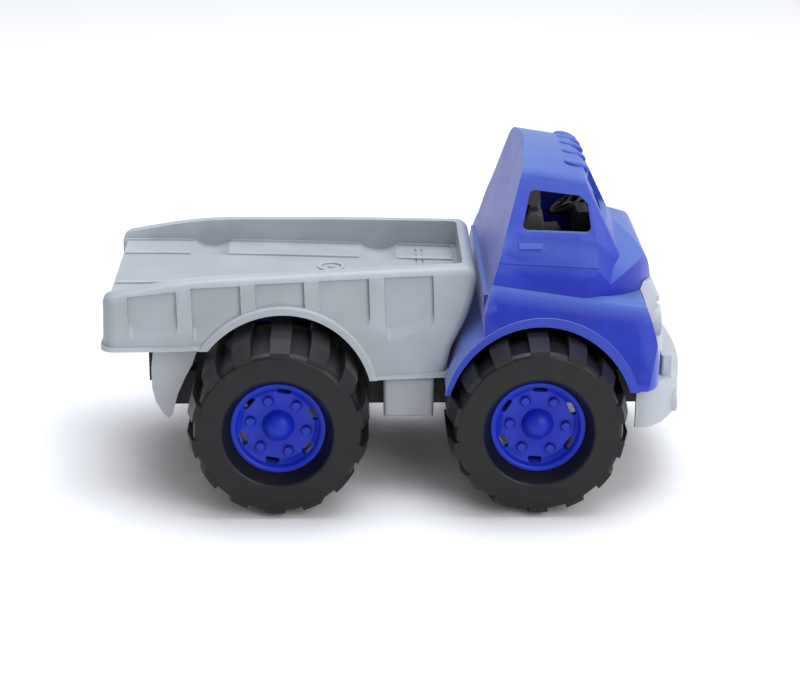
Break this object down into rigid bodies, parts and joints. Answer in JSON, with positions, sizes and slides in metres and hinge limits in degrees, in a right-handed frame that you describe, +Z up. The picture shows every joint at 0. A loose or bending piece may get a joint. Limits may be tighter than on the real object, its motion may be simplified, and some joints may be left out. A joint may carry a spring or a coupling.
{
  "type": "push along truck",
  "caption": "Toy flatbed truck with a hollow cab, open load bed that tips up on a rear pivot, and lugged tyres on dished hubs turning on two axles.",
  "frame": {"origin": "on the ground, midway between the tail of the bed and the front of the bumper, on the middle plane", "axes": "+X points forward to the bumper, +Y to the truck's left, +Z up"},
  "size_m": [0.274, 0.174, 0.1587],
  "materials": {
    "grey_plastic": "satin",
    "light_grey_plastic": "satin",
    "blue_plastic": "satin",
    "black_plastic": "satin",
    "seat_grey_plastic": "satin",
    "black_tyre": "matte",
    "steel": "brushed"
  },
  "bodies": {
    "truck": {"bed_pivot_pin": "steel", "cab_floor": "black_plastic", "cab_shell": "blue_plastic", "chassis": "black_plastic", "dashboard": "black_plastic", "frame_screws": "steel", "front_bumper": "light_grey_plastic", "grille": "light_grey_plastic", "rear_guard_left": "light_grey_plastic", "rear_guard_right": "light_grey_plastic", "seat_left": "seat_grey_plastic", "seat_right": "seat_grey_plastic", "side_tank_left": "light_grey_plastic", "side_tank_right": "light_grey_plastic", "steering_wheel": "black_plastic"},
    "bed": {"bed": "grey_plastic"},
    "front_wheels": {"front_axle": "steel", "hub_front_left": "blue_plastic", "hub_front_right": "blue_plastic", "tyre_front_left": "black_tyre", "tyre_front_right": "black_tyre"},
    "rear_wheels": {"rear_axle": "steel", "hub_rear_left": "blue_plastic", "hub_rear_right": "blue_plastic", "tyre_rear_left": "black_tyre", "tyre_rear_right": "black_tyre"}
  },
  "joints": [
    {"name": "front_wheels_spin", "type": "hinge", "parent": "truck", "child": "front_wheels", "pos_m": [0.064, 0, 0.042], "axis": [0, 1, 0], "continuous": true},
    {"name": "rear_wheels_spin", "type": "hinge", "parent": "truck", "child": "rear_wheels", "pos_m": [-0.055, 0, 0.042], "axis": [0, 1, 0], "continuous": true},
    {"name": "bed_tip", "type": "hinge", "parent": "truck", "child": "bed", "pos_m": [-0.107, 0, 0.062], "axis": [0, -1, 0], "range_deg": [0, 40]}
  ]
}
